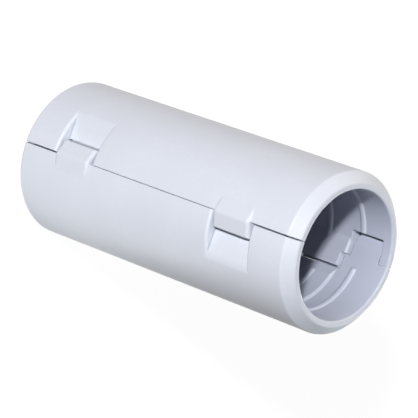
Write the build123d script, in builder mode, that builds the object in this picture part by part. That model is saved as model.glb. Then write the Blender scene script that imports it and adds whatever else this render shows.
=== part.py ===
from build123d import *
import os
from math import cos, radians, sin, sqrt

# Round clip-on ferrite bead: two like case halves that snap together around a split ferrite core.
# It stands on one rim, with its axis along +Z and its origin in the middle of the lower rim.
# The halves part on the YZ plane, the right one at +X. Each half has pry tabs and tongue pockets
# at one end, and snap tongues and tab notches at the other. The left half is the right half
# turned end for end about the front-to-back axis, so tabs meet notches and tongues meet pockets.

# Ferrite core
core_diameter = 25.9
core_bore = 12.8
core_length = 28.6
core_end_chamfer = 0.5
core_seat_chamfer = 0.8
core_bore_chamfer = 0.4
core_face_gap = 0.04

# Case walls
core_side_clearance = 0.1
core_end_clearance = 0.15
case_wall = 1.95
collar_wall = 3.0
collar_length = 21.35
end_chamfer = 1.9
end_edge_round = 0.5
rim_edge_round = 0.35
parting_gap = 0.08
parting_edge_round = 0.09
end_line_gap = 0.1
end_line_depth = 1.4
rim_line_depth = 2.2
rim_line_length = 1.9
overrun = 1.0

# Ring beads inside the collars, and the thicker land behind the tab notches
bead_height = 0.42
bead_width = 1.3
bead_insets = (7.0, 15.0)
bead_end_angle = 10.0
land_inset = 10.45
land_rise = 0.45
land_lead = 0.45

# Pry tabs, which lap over the parting plane, and the notches that take them
tab_width = 8.8
tab_inset = 10.65
tab_reach = 2.8
tab_foot = 3.0
tab_rise = 0.7
tab_tip_drop = 0.6
tab_toe = 0.3
tab_toe_thickness = 0.3
tab_toe_drop = 0.25
tab_tip_undercut = 0.2
tab_crest_round = 1.2
tab_edge_round = 0.7
tab_tip_round = 0.2
tab_side_gap = 0.55
tab_tip_gap = 0.35
sill_slope = 1.35
sill_wall = 1.05
pad_rise = 0.65
pad_lead = 0.35

# Tool recesses, which run out from under the tab tips to the case's outside
recess_wall = 0.67
recess_edge_round = 0.55
recess_edge_turn = 80.0
runout_round = 4.0
runout_turn = 26.0

# Snap tongues with outward barbs, and the pockets that take them
tongue_width = 6.55
tongue_inset = 2.3
tongue_reach = 4.2
tongue_root = 1.5
tongue_thickness = 1.1
tongue_taper_start = 2.3
tongue_tip_relief = 0.3
tongue_tip_lead = 0.2
tongue_corner = 0.8
barb_height = 0.4
barb_start = 2.5
barb_rise_run = 0.2
barb_flat = 0.3
pocket_clearance = 0.15
pocket_far_room = 0.7
pocket_tip_gap = 0.3

# Lugs at the parting edge that keep each core half in its shell
lug_length = 4.0
lug_spacing = 17.0
lug_clearance = 0.1

core_radius = core_diameter / 2
pocket_radius = core_radius + core_side_clearance
case_radius = pocket_radius + case_wall
collar_radius = case_radius - collar_wall
land_radius = collar_radius - land_rise
case_length = core_length + 2 * (core_end_clearance + collar_length)
core_base = collar_length + core_end_clearance
parting_face = parting_gap / 2
notch_width = tab_width + 2 * tab_side_gap
notch_top = case_length - tab_inset + tab_side_gap
notch_base = notch_top - notch_width
notch_depth = tab_reach + tab_tip_gap
recess_floor = collar_radius + recess_wall
bore_clear = collar_radius - collar_wall
outside_clear = case_radius + tab_rise + overrun
tongue_base = case_length - tongue_inset - tongue_width
pocket_width = tongue_width + pocket_clearance + pocket_far_room
pocket_base = tongue_inset - pocket_clearance
pocket_depth = tongue_reach + pocket_tip_gap


def height_on_circle(radius, sideways):
    """Distance from the front-to-back mid plane of a point on a circle about the axis."""
    return sqrt(radius**2 - sideways**2)


# Pry tabs, front and back: a roof whose crest lies on the parting plane, with a toe on its tip
# and an inner side that thickens towards the tip
pad_foot = height_on_circle(collar_radius, tab_foot)
pad_tip = height_on_circle(collar_radius, tab_reach) - pad_rise
toe_outer = recess_floor - tab_toe_drop
toe_inner = toe_outer - tab_toe_thickness
with BuildPart() as pry_tabs:
    with BuildSketch(Plane.XY.offset(tab_inset)):
        with BuildLine():
            Polyline(
                (tab_foot, height_on_circle(case_radius, tab_foot)),
                (0, case_radius + tab_rise),
                (-tab_reach, case_radius - tab_tip_drop),
                (-tab_reach, toe_outer),
                (-tab_reach - tab_toe, toe_outer),
                (-tab_reach - tab_toe, toe_inner),
                (-tab_reach + tab_tip_undercut, toe_inner),
                (-tab_reach + tab_tip_undercut, pad_tip),
                (tab_foot, pad_foot),
                close=True,
            )
        tab_profile = make_face()
        fillet(tab_profile.vertices().sort_by(Axis.Y)[-1], tab_crest_round)
        mirror(about=Plane.XZ)
    extrude(amount=tab_width)
    roof_middle = (collar_radius + case_radius) / 2
    end_edges = pry_tabs.faces().filter_by(Axis.Z).edges()
    fillet(end_edges.filter_by(lambda edge: abs(edge.center().Y) > roof_middle), tab_edge_round)
    tip_edges = pry_tabs.edges().filter_by(Axis.Z).group_by(Axis.X)[1]
    fillet(tip_edges.filter_by(lambda edge: abs(edge.center().Y) > roof_middle), tab_tip_round)

# Pads inside the collar that carry the tabs' thickened side on, each with a sloped near end
pad_slope = (pad_foot - pad_tip) / (tab_foot + tab_reach - tab_tip_undercut)
pad_parting = pad_foot - pad_slope * (tab_foot - parting_face)
pad_embed = (collar_radius + recess_floor) / 2
pad_base = pocket_base + pocket_width
with BuildPart() as tab_pads:
    with BuildSketch(Plane.XY.offset(pad_base)):
        with BuildLine():
            Polyline(
                (parting_face, pad_parting),
                (tab_foot, pad_foot),
                (tab_foot, pad_embed),
                (parting_face, pad_embed),
                close=True,
            )
        make_face()
        mirror(about=Plane.XZ)
    extrude(amount=collar_length - pad_base)
    near_edges = tab_pads.edges().group_by(Axis.Z)[0]
    chamfer(near_edges.sort_by(lambda edge: abs(edge.center().Y))[:2], pad_lead)

# Snap tongues, front and back: flat blades with a barb on the outer side near the tip
tongue_outer = collar_radius + tongue_thickness
barb_top = tongue_outer + barb_height
barb_crest = barb_start + barb_rise_run
with BuildPart() as snap_tongues:
    with BuildSketch(Plane.XY.offset(tongue_base)):
        with BuildLine():
            Polyline(
                (tongue_root, collar_radius),
                (-tongue_taper_start, collar_radius),
                (-tongue_reach, collar_radius + tongue_tip_relief),
                (-tongue_reach, tongue_outer - tongue_tip_lead),
                (-barb_crest - barb_flat, barb_top),
                (-barb_crest, barb_top),
                (-barb_start, tongue_outer),
                (tongue_root, tongue_outer),
                close=True,
            )
        make_face()
        mirror(about=Plane.XZ)
    extrude(amount=tongue_width)
    tip_corners = snap_tongues.edges().filter_by(Axis.Y).group_by(Axis.X)[0]
    chamfer(tip_corners, tongue_corner)

# Tool recesses, front and back: a flat floor that rolls over into the case's outside, between
# side walls with rounded edges
runout_drop = runout_round * (1 - cos(radians(runout_turn)))
runout_end = height_on_circle(case_radius, recess_floor - runout_drop)
runout_start = runout_end - runout_round * sin(radians(runout_turn))
edge_start = case_radius - recess_edge_round
with BuildPart() as tool_recesses:
    with BuildSketch(Plane.XY.offset(notch_base - recess_edge_round)):
        with BuildLine():
            floor_line = Line((0, recess_floor), (runout_start, recess_floor))
            roll = JernArc(floor_line @ 1, floor_line % 1, runout_round, -runout_turn)
            exit_line = Line(roll @ 1, roll @ 1 + (roll % 1) * overrun)
            Polyline(
                exit_line @ 1,
                ((exit_line @ 1).X, outside_clear),
                (0, outside_clear),
                (0, recess_floor),
            )
        make_face()
        mirror(about=Plane.XZ)
    extrude(amount=notch_width + 2 * recess_edge_round)
    with BuildSketch(Plane.XZ):
        with BuildLine():
            lower_edge = JernArc((edge_start, notch_base), (1, 0), recess_edge_round, -recess_edge_turn)
            upper_edge = JernArc((edge_start, notch_top), (1, 0), recess_edge_round, recess_edge_turn)
            lower_flare = Line(lower_edge @ 1, lower_edge @ 1 + (lower_edge % 1) * overrun)
            upper_flare = Line(upper_edge @ 1, upper_edge @ 1 + (upper_edge % 1) * overrun)
            Polyline(
                lower_flare @ 1,
                (outside_clear, (lower_flare @ 1).Y),
                (outside_clear, (upper_flare @ 1).Y),
                upper_flare @ 1,
            )
            Polyline(
                (edge_start, notch_base),
                (0, notch_base),
                (0, notch_top),
                (edge_start, notch_top),
            )
        make_face()
    revolve(axis=Axis.Z, mode=Mode.INTERSECT)

# Right case half
land_top = case_length - land_inset
core_pocket_top = case_length - collar_length
with BuildPart() as right_case_half:
    with BuildSketch(Plane.XZ):
        with BuildLine():
            Polyline(
                (collar_radius, 0),
                (case_radius, 0),
                (case_radius, case_length),
                (collar_radius, case_length),
                (collar_radius, land_top),
                (land_radius, land_top - land_lead),
                (land_radius, core_pocket_top),
                (pocket_radius, core_pocket_top),
                (pocket_radius, collar_length),
                (collar_radius, collar_length),
                close=True,
            )
        wall_profile = make_face()
        chamfered_wall = chamfer(wall_profile.vertices().group_by(Axis.X)[-1], end_chamfer)
        by_radius = chamfered_wall.vertices().group_by(Axis.X)
        rounded_wall = fillet(by_radius[-1] + by_radius[-2], end_edge_round)
        lower_rim = rounded_wall.vertices().group_by(Axis.Y)[0].sort_by(Axis.X)[0]
        upper_rim = rounded_wall.vertices().group_by(Axis.Y)[-1].sort_by(Axis.X)[0]
        fillet([lower_rim, upper_rim], rim_edge_round)
    revolve(axis=Axis.Z)
    split(bisect_by=Plane.YZ.offset(parting_face), keep=Keep.TOP)
    parting_edges = right_case_half.edges().filter_by(Axis.Z).group_by(Axis.X)[0]
    by_width = parting_edges.sort_by(lambda edge: abs(edge.center().Y))
    fillet(by_width[-2:], parting_edge_round)

    # Ring beads, which stop short of the parting plane
    bead_seats = []
    for inset in bead_insets:
        bead_seats.append((inset, collar_radius))
        upper_seat = land_radius if inset > case_length - land_top else collar_radius
        bead_seats.append((case_length - inset, upper_seat))
    bead_half_arc = 90 - bead_end_angle
    bead_plane = Plane(
        (0, 0, 0),
        x_dir=Plane.XZ.x_dir.rotate(Axis.Z, -bead_half_arc),
        z_dir=Plane.XZ.z_dir.rotate(Axis.Z, -bead_half_arc),
    )
    for height, seat_radius in bead_seats:
        with BuildSketch(bead_plane):
            with BuildLine():
                ThreePointArc(
                    (seat_radius, height - bead_width / 2),
                    (seat_radius - bead_height, height),
                    (seat_radius, height + bead_width / 2),
                )
                Polyline(
                    (seat_radius, height + bead_width / 2),
                    (seat_radius + bead_height, height + bead_width / 2),
                    (seat_radius + bead_height, height - bead_width / 2),
                    (seat_radius, height - bead_width / 2),
                )
            make_face()
        revolve(axis=Axis.Z, revolution_arc=2 * bead_half_arc)

    # Wider parting line between each rim and the nearest latch, deeper at the rim
    end_line_face = parting_face + end_line_gap
    end_lines = (
        (0, tab_inset + tab_edge_round, end_line_depth),
        (0, rim_line_length, rim_line_depth),
        (case_length - rim_line_length, case_length, rim_line_depth),
        (notch_top, case_length, end_line_depth),
    )
    for line_base, line_top, line_depth in end_lines:
        with BuildSketch(Plane.XY.offset(line_base)):
            with BuildLine():
                Polyline(
                    (-overrun, case_radius - line_depth),
                    (end_line_face, case_radius - line_depth),
                    (end_line_face, outside_clear),
                    (-overrun, outside_clear),
                    close=True,
                )
            make_face()
            mirror(about=Plane.XZ)
        extrude(amount=line_top - line_base, mode=Mode.SUBTRACT)

    # Tab notches through the wall, with a sill whose inner edge slopes away
    sill_foot = notch_depth + sill_slope
    sill_inner = height_on_circle(land_radius, sill_foot)
    with BuildSketch(Plane.XY.offset(notch_base)):
        with BuildLine():
            Polyline(
                (-overrun, bore_clear),
                (sill_foot, bore_clear),
                (sill_foot, sill_inner),
                (notch_depth, recess_floor - sill_wall),
                (notch_depth, outside_clear),
                (-overrun, outside_clear),
                close=True,
            )
        make_face()
        mirror(about=Plane.XZ)
    extrude(amount=notch_width, mode=Mode.SUBTRACT)

    add(tool_recesses.part, mode=Mode.SUBTRACT)

    # Tongue pockets, open to the bore, with a groove that catches the barb
    pocket_outer = tongue_outer + pocket_clearance
    groove_outer = barb_top + pocket_clearance
    groove_start = barb_start - pocket_clearance
    with BuildSketch(Plane.XY.offset(pocket_base)):
        with BuildLine():
            Polyline(
                (-overrun, bore_clear),
                (pocket_depth, bore_clear),
                (pocket_depth, groove_outer),
                (groove_start, groove_outer),
                (groove_start, pocket_outer),
                (-overrun, pocket_outer),
                close=True,
            )
        make_face()
        mirror(about=Plane.XZ)
    extrude(amount=pocket_width, mode=Mode.SUBTRACT)

    # Core lugs: wedges in the room that the core's chamfered edge leaves at the parting face
    lug_inner = core_radius - core_seat_chamfer + lug_clearance * sqrt(2) + parting_face - core_face_gap / 2
    lug_embed = case_wall / 2
    lug_depth = pocket_radius + lug_embed - lug_inner
    for lug_middle in (case_length / 2 - lug_spacing / 2, case_length / 2 + lug_spacing / 2):
        with BuildSketch(Plane.XY.offset(lug_middle - lug_length / 2)):
            with BuildLine():
                Polyline(
                    (parting_face, lug_inner),
                    (parting_face + lug_depth, lug_inner + lug_depth),
                    (parting_face, lug_inner + lug_depth),
                    close=True,
                )
            make_face()
            mirror(about=Plane.XZ)
        extrude(amount=lug_length)

    add(tab_pads.part)
    add(pry_tabs.part)
    add(snap_tongues.part)

# Left case half: the right half turned end for end
with BuildPart() as left_case_half:
    with Locations((0, 0, case_length)):
        add(right_case_half.part, rotation=(0, 180, 0))

# Right core half, with ground mating faces and broken edges
with BuildPart() as right_core_half:
    with BuildSketch(Plane.XZ):
        with BuildLine():
            Polyline(
                (core_bore / 2, core_base),
                (core_radius, core_base),
                (core_radius, core_base + core_length),
                (core_bore / 2, core_base + core_length),
                close=True,
            )
        core_section = make_face()
        chamfer(core_section.vertices(), core_end_chamfer)
    revolve(axis=Axis.Z)
    split(bisect_by=Plane.YZ.offset(core_face_gap / 2), keep=Keep.TOP)
    mating_edges = right_core_half.edges().filter_by(Axis.Z).group_by(Axis.X)[0]
    by_width = mating_edges.sort_by(lambda edge: abs(edge.center().Y))
    chamfer(by_width[-2:], core_seat_chamfer)
    chamfer(by_width[:2], core_bore_chamfer)

# Left core half: the same half core turned end for end
with BuildPart() as left_core_half:
    with Locations((0, 0, case_length)):
        add(right_core_half.part, rotation=(0, 180, 0))

right_case_half.part.label = "right_case_half"
left_case_half.part.label = "left_case_half"
right_core_half.part.label = "right_core_half"
left_core_half.part.label = "left_core_half"

os.makedirs("parts", exist_ok=True)
export_step(right_case_half.part, "parts/right_case_half.step")
export_step(left_case_half.part, "parts/left_case_half.step")
export_step(right_core_half.part, "parts/right_core_half.step")
export_step(left_core_half.part, "parts/left_core_half.step")
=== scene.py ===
from math import cos, radians, sin

import bpy
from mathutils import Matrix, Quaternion, Vector


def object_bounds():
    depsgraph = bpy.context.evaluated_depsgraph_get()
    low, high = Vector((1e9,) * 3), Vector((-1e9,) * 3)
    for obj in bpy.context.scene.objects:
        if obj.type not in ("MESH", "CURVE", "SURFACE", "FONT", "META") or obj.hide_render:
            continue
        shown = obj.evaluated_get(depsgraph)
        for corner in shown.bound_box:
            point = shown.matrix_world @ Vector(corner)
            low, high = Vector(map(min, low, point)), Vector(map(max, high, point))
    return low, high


# Looks of a round clip-on ferrite bead: satin moulded case halves around a dark sintered core.
# Lengths are in metres, angles in degrees. The frame stands on its lower rim, with the axis along Z.

# Camera, aimed near the middle of the bead and rolled so that the bead lies across the picture
view_azimuth = -1.603
view_elevation = 41.537
view_roll = 110.048
view_distance = 0.5078
aim_offset = Vector((0.00064, 0.00083, 0.00096))
lens_mm = 237.96

# Key lamp: a small round source close to the camera's direction
key_direction = Vector((-0.219, -0.801, 0.557))
key_distance = 1.2
key_diameter = 0.084
key_power = 11.8
key_color = (0.962, 0.962, 0.985)

# Wide lamps: a low one in front, a warm one on the left towards the back, and a cool one behind
front_direction = Vector((0.06, -0.985, 0.15))
front_power = 3.3
front_color = (0.90, 0.93, 0.97)
left_direction = Vector((-0.78, 0.48, 0.40))
left_power = 2.6
left_color = (1.0, 0.88, 0.76)
back_direction = Vector((0.20, 0.97, 0.10))
back_power = 6.5
back_color = (0.88, 0.94, 1.0)
wide_distance = 0.9
wide_diameter = 0.7

# Small lit card on the right, close to the lower end, which brightens the case there
card_height = 0.005
card_direction = Vector((0.94, -0.342, 0.0))
card_distance = 0.05
card_diameter = 0.03
card_power = 0.0065
card_color = (0.95, 1.0, 1.0)

# Weak even fill, and a floor that warms the light from below and stays white to the camera
white = (1.0, 1.0, 1.0, 1.0)
fill_strength = 0.03
seen_strength = 1.0
floor_size = 6.0
floor_bounce = (0.12, 0.085, 0.064, 1.0)
floor_seen = (0.14, 0.14, 0.14, 1.0)
floor_seen_lift = 0.93
floor_roughness = 1.0
floor_gloss = 0.0

# Case plastic, with painted shade on surfaces that face the axis, which darkens the inside of the bore
plastic_pale = (0.765, 0.800, 0.870, 1.0)
plastic_deep = (0.725, 0.762, 0.835, 1.0)
plastic_inside_shade = (0.535, 0.565, 0.665, 1.0)
inside_shade_turn = (-0.4, -0.9)
plastic_roughness = (0.40, 0.52)
plastic_edge_round = 0.0003
cloud_size = 0.011
mottle_size = 0.0009
mottle_share = 0.6
grain_size = 0.00016
grain_detail = 3.0
grain_depth = 0.000004

# Painted shade in narrow corners and gap mouths of the case, by how much of the space within reach of a
# point is open
plastic_crevice_shade = (0.20, 0.21, 0.255, 1.0)
crevice_shade_reach = 0.0006
crevice_shade_open = (0.25, 0.85)
crevice_shade_mouth = (0.0, 0.15)

# Ferrite, as sintered and as ground on the mating faces
ferrite_dark = (0.022, 0.021, 0.022, 1.0)
ferrite_grey = (0.055, 0.053, 0.055, 1.0)
ferrite_roughness = (0.42, 0.62)
ferrite_edge_round = 0.00010
blotch_size = 0.003
blotch_share = 0.5
speckle_size = 0.00022
speckle_detail = 4.0
speckle_roughness = 0.65
speckle_share = 0.6
speckle_turn = (0.5, 0.75)
pit_depth = 0.000012
ground_dark = (0.084, 0.082, 0.085, 1.0)
ground_light = (0.116, 0.113, 0.117, 1.0)
ground_roughness = (0.26, 0.40)
grind_width = 0.00009
grind_length = 0.006

# Shared by the materials: the reach of the parting faces, rays for edges and corners, and plain noise
parting_reach = 0.0003
edge_samples = 8
noise_detail = 2.0
noise_roughness = 0.5
noise_span = (0.3, 0.7)

# The whole run of a factor, and the part of a place that lies across the bead's axis
whole_span = (0.0, 1.0)
across_axis = (1.0, 1.0, 0.0)

# Sockets of the Mix node, whose names repeat for each kind of value
mix_number_inputs = (2, 3)
mix_number_output = 0
mix_color_inputs = (6, 7)
mix_color_output = 2


def new_material(name):
    """A cleared node material with one Principled shader wired to its output."""
    material = bpy.data.materials.new(name)
    material.use_nodes = True
    tree = material.node_tree
    tree.nodes.clear()
    output = tree.nodes.new("ShaderNodeOutputMaterial")
    shader = tree.nodes.new("ShaderNodeBsdfPrincipled")
    tree.links.new(shader.outputs["BSDF"], output.inputs["Surface"])
    return material, tree, shader


def coordinates(tree):
    """The places and normals of the surface, in the object's own coordinates."""
    return tree.nodes.new("ShaderNodeTexCoord").outputs


def vector_step(tree, operation, first):
    """A vector node that works on a vector, with its second input left free."""
    node = tree.nodes.new("ShaderNodeVectorMath")
    node.operation = operation
    tree.links.new(first, node.inputs[0])
    return node


def number_step(tree, operation, first):
    """A number node that works on a number, with its second input left free."""
    node = tree.nodes.new("ShaderNodeMath")
    node.operation = operation
    tree.links.new(first, node.inputs[0])
    return node


def noise(tree, size, detail=noise_detail, roughness=noise_roughness):
    """Noise with features of about that size."""
    texture = tree.nodes.new("ShaderNodeTexNoise")
    texture.inputs["Scale"].default_value = 1 / size
    texture.inputs["Detail"].default_value = detail
    texture.inputs["Roughness"].default_value = roughness
    tree.links.new(coordinates(tree)["Object"], texture.inputs["Vector"])
    return texture.outputs["Fac"]


def blend_colors(tree, factor, first, second):
    """A colour between two sockets or constants."""
    mix = tree.nodes.new("ShaderNodeMix")
    mix.data_type = "RGBA"
    tree.links.new(factor, mix.inputs["Factor"])
    for index, value in zip(mix_color_inputs, (first, second)):
        if isinstance(value, tuple):
            mix.inputs[index].default_value = value
        else:
            tree.links.new(value, mix.inputs[index])
    return mix.outputs[mix_color_output]


def blend_numbers(tree, factor, first, second):
    """A number between two sockets."""
    mix = tree.nodes.new("ShaderNodeMix")
    tree.links.new(factor, mix.inputs["Factor"])
    for index, value in zip(mix_number_inputs, (first, second)):
        tree.links.new(value, mix.inputs[index])
    return mix.outputs[mix_number_output]


def remap(tree, factor, low, high, span=noise_span):
    """A number that runs from low to high while the factor runs along its span."""
    node = tree.nodes.new("ShaderNodeMapRange")
    start, end = span
    node.inputs["From Min"].default_value = start
    node.inputs["From Max"].default_value = end
    node.inputs["To Min"].default_value = low
    node.inputs["To Max"].default_value = high
    tree.links.new(factor, node.inputs["Value"])
    return node.outputs["Result"]


def rounded_normal(tree, radius):
    """Normals that turn softly over sharp edges."""
    node = tree.nodes.new("ShaderNodeBevel")
    node.samples = edge_samples
    node.inputs["Radius"].default_value = radius
    return node.outputs["Normal"]


def bump(tree, height, depth, normal):
    """Relief of that depth on top of a normal."""
    node = tree.nodes.new("ShaderNodeBump")
    node.inputs["Distance"].default_value = depth
    tree.links.new(height, node.inputs["Height"])
    tree.links.new(normal, node.inputs["Normal"])
    return node.outputs["Normal"]


def parting_share(tree):
    """1 on the faces beside the parting plane, and 0 elsewhere."""
    split = tree.nodes.new("ShaderNodeSeparateXYZ")
    tree.links.new(coordinates(tree)["Object"], split.inputs["Vector"])
    depth = number_step(tree, "ABSOLUTE", split.outputs["X"])
    near = number_step(tree, "LESS_THAN", depth.outputs["Value"])
    near.inputs[1].default_value = parting_reach
    return near.outputs["Value"]


def inside_shade_share(tree):
    """Share of painted shade: 1 on surfaces that face the bead's axis, and 0 on those that face away from
    it.
    """
    surface = coordinates(tree)
    across = vector_step(tree, "MULTIPLY", surface["Object"])
    across.inputs[1].default_value = across_axis
    spoke = vector_step(tree, "NORMALIZE", across.outputs["Vector"])
    facing = vector_step(tree, "DOT_PRODUCT", spoke.outputs["Vector"])
    tree.links.new(surface["Normal"], facing.inputs[1])
    return remap(tree, facing.outputs["Value"], 0.0, 1.0, inside_shade_turn)


def crevice_shade_share(tree):
    """Share of painted shade: 1 in narrow corners and at the mouths of gaps, and 0 in the open and deep
    inside gaps.
    """
    node = tree.nodes.new("ShaderNodeAmbientOcclusion")
    node.samples = edge_samples
    node.inputs["Distance"].default_value = crevice_shade_reach
    corner = remap(tree, node.outputs["AO"], 1.0, 0.0, crevice_shade_open)
    mouth = remap(tree, node.outputs["AO"], 0.0, 1.0, crevice_shade_mouth)
    both = number_step(tree, "MULTIPLY", corner)
    tree.links.new(mouth, both.inputs[1])
    return both.outputs["Value"]


def case_plastic():
    """Pale bluish grey moulded plastic: a satin skin with fine grain and faint flow clouds, with painted
    shade inside the bore and in narrow corners.
    """
    material, tree, shader = new_material("case_plastic_satin")
    clouds = remap(tree, noise(tree, cloud_size), 0.0, 1.0)
    mottle = remap(tree, noise(tree, mottle_size), 0.0, mottle_share)
    pale = blend_colors(tree, mottle, plastic_pale, plastic_deep)
    skin = blend_colors(tree, clouds, pale, plastic_deep)
    # Painted shade: surfaces that face the axis take a darker tone that stands in for the shade inside the
    # bore
    inside_shaded = blend_colors(tree, inside_shade_share(tree), skin, plastic_inside_shade)
    # Painted shade in narrow corners and at gap mouths, left off the faces beside the parting plane
    crevice_shaded = blend_colors(tree, crevice_shade_share(tree), inside_shaded, plastic_crevice_shade)
    color = blend_colors(tree, parting_share(tree), crevice_shaded, inside_shaded)
    tree.links.new(color, shader.inputs["Base Color"])
    grain = noise(tree, grain_size, grain_detail)
    tree.links.new(remap(tree, grain, *plastic_roughness), shader.inputs["Roughness"])
    soft_edges = rounded_normal(tree, plastic_edge_round)
    tree.links.new(bump(tree, grain, grain_depth, soft_edges), shader.inputs["Normal"])
    return material


def grind_lines(tree):
    """Fine lines along the axis, as a grinding wheel leaves them."""
    stretch = vector_step(tree, "DIVIDE", coordinates(tree)["Object"])
    stretch.inputs[1].default_value = (grind_width, grind_width, grind_length)
    texture = tree.nodes.new("ShaderNodeTexNoise")
    texture.inputs["Scale"].default_value = 1.0
    tree.links.new(stretch.outputs["Vector"], texture.inputs["Vector"])
    return texture.outputs["Fac"]


def ferrite():
    """Dark sintered ceramic with fine speckle and shallow pits, ground smooth on the mating faces."""
    material, tree, shader = new_material("sintered_ferrite")
    ground = parting_share(tree)
    lines = grind_lines(tree)
    speckle = noise(tree, speckle_size, speckle_detail, speckle_roughness)
    blotches = remap(tree, noise(tree, blotch_size), 0.0, blotch_share)
    dark = blend_colors(tree, blotches, ferrite_dark, ferrite_grey)
    light = remap(tree, speckle, 0.0, speckle_share, speckle_turn)
    sintered = blend_colors(tree, light, dark, ferrite_grey)
    smooth = blend_colors(tree, remap(tree, lines, 0.0, 1.0), ground_dark, ground_light)
    tree.links.new(blend_colors(tree, ground, sintered, smooth), shader.inputs["Base Color"])
    rough = remap(tree, speckle, *ferrite_roughness)
    polished = remap(tree, lines, *ground_roughness)
    tree.links.new(blend_numbers(tree, ground, rough, polished), shader.inputs["Roughness"])
    soft_edges = rounded_normal(tree, ferrite_edge_round)
    tree.links.new(bump(tree, speckle, pit_depth, soft_edges), shader.inputs["Normal"])
    return material


def seen_directly(tree):
    """1 for camera, glossy and transmission rays, and 0 for the light that falls on the object."""
    path = tree.nodes.new("ShaderNodeLightPath").outputs
    seen = path["Is Camera Ray"]
    for ray in ("Is Glossy Ray", "Is Transmission Ray"):
        either = number_step(tree, "MAXIMUM", seen)
        tree.links.new(path[ray], either.inputs[1])
        seen = either.outputs["Value"]
    return seen


def white_world():
    """Even fill light on the object, and plain white where the camera sees past the floor."""
    world = bpy.data.worlds.new("studio")
    bpy.context.scene.world = world
    world.use_nodes = True
    tree = world.node_tree
    background = tree.nodes["Background"]
    background.inputs["Color"].default_value = white
    strength = remap(tree, seen_directly(tree), fill_strength, seen_strength, whole_span)
    tree.links.new(strength, background.inputs["Strength"])


def white_floor(height):
    """A pale floor that reads as white and keeps a faint shadow."""
    bpy.ops.mesh.primitive_plane_add(size=floor_size, location=(0, 0, height))
    floor = bpy.context.object
    floor.name = "floor"
    material, tree, shader = new_material("floor_white")
    seen = seen_directly(tree)
    tree.links.new(blend_colors(tree, seen, floor_bounce, floor_seen), shader.inputs["Base Color"])
    shader.inputs["Roughness"].default_value = floor_roughness
    shader.inputs["Specular IOR Level"].default_value = floor_gloss
    shader.inputs["Emission Color"].default_value = white
    lift = remap(tree, seen, 0.0, floor_seen_lift, whole_span)
    tree.links.new(lift, shader.inputs["Emission Strength"])
    floor.data.materials.append(material)


def disk_lamp(name, target, direction, distance, diameter, power, color):
    """A round lamp that faces its target from a direction."""
    lamp = bpy.data.lights.new(name, "AREA")
    lamp.shape = "DISK"
    lamp.size = diameter
    lamp.energy = power
    lamp.color = color
    holder = bpy.data.objects.new(name, lamp)
    holder.location = target + direction.normalized() * distance
    holder.rotation_mode = "QUATERNION"
    holder.rotation_quaternion = direction.to_track_quat("Z", "Y")
    holder.visible_camera = False
    bpy.context.scene.collection.objects.link(holder)


def photo_camera(middle):
    """The camera, turned about its own view direction by the roll."""
    azimuth, elevation = radians(view_azimuth), radians(view_elevation)
    back = Vector((sin(azimuth) * cos(elevation), -cos(azimuth) * cos(elevation), sin(elevation)))
    camera = bpy.data.cameras.new("camera")
    camera.lens = lens_mm
    holder = bpy.data.objects.new("camera", camera)
    holder.location = middle + aim_offset + back * view_distance
    holder.rotation_mode = "QUATERNION"
    holder.rotation_quaternion = back.to_track_quat("Z", "Y") @ Quaternion((0, 0, 1), radians(view_roll))
    bpy.context.scene.collection.objects.link(holder)
    bpy.context.scene.camera = holder


def dress(nodes, material):
    """Puts a material on CAD nodes."""
    for node in nodes:
        node.data.materials.clear()
        node.data.materials.append(material)


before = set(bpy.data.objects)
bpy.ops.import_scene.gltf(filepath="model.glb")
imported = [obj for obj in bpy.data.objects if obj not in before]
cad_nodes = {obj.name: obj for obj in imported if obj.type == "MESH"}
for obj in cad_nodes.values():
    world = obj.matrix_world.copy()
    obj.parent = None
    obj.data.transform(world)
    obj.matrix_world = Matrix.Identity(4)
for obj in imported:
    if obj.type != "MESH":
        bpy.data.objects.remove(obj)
cad_low, cad_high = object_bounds()
bead_middle = (cad_low + cad_high) / 2

dress((cad_nodes["right_case_half"], cad_nodes["left_case_half"]), case_plastic())
dress((cad_nodes["right_core_half"], cad_nodes["left_core_half"]), ferrite())
white_world()
white_floor(cad_low.z)
disk_lamp("key", bead_middle, key_direction, key_distance, key_diameter, key_power, key_color)
wide_lamps = {
    "front": (front_direction, front_power, front_color),
    "left": (left_direction, left_power, left_color),
    "back": (back_direction, back_power, back_color),
}
for name, (direction, power, color) in wide_lamps.items():
    disk_lamp(name, bead_middle, direction, wide_distance, wide_diameter, power, color)
card_target = Vector((0, 0, card_height))
disk_lamp("card", card_target, card_direction, card_distance, card_diameter, card_power, card_color)
photo_camera(bead_middle)
bpy.context.scene.view_settings.view_transform = "Standard"
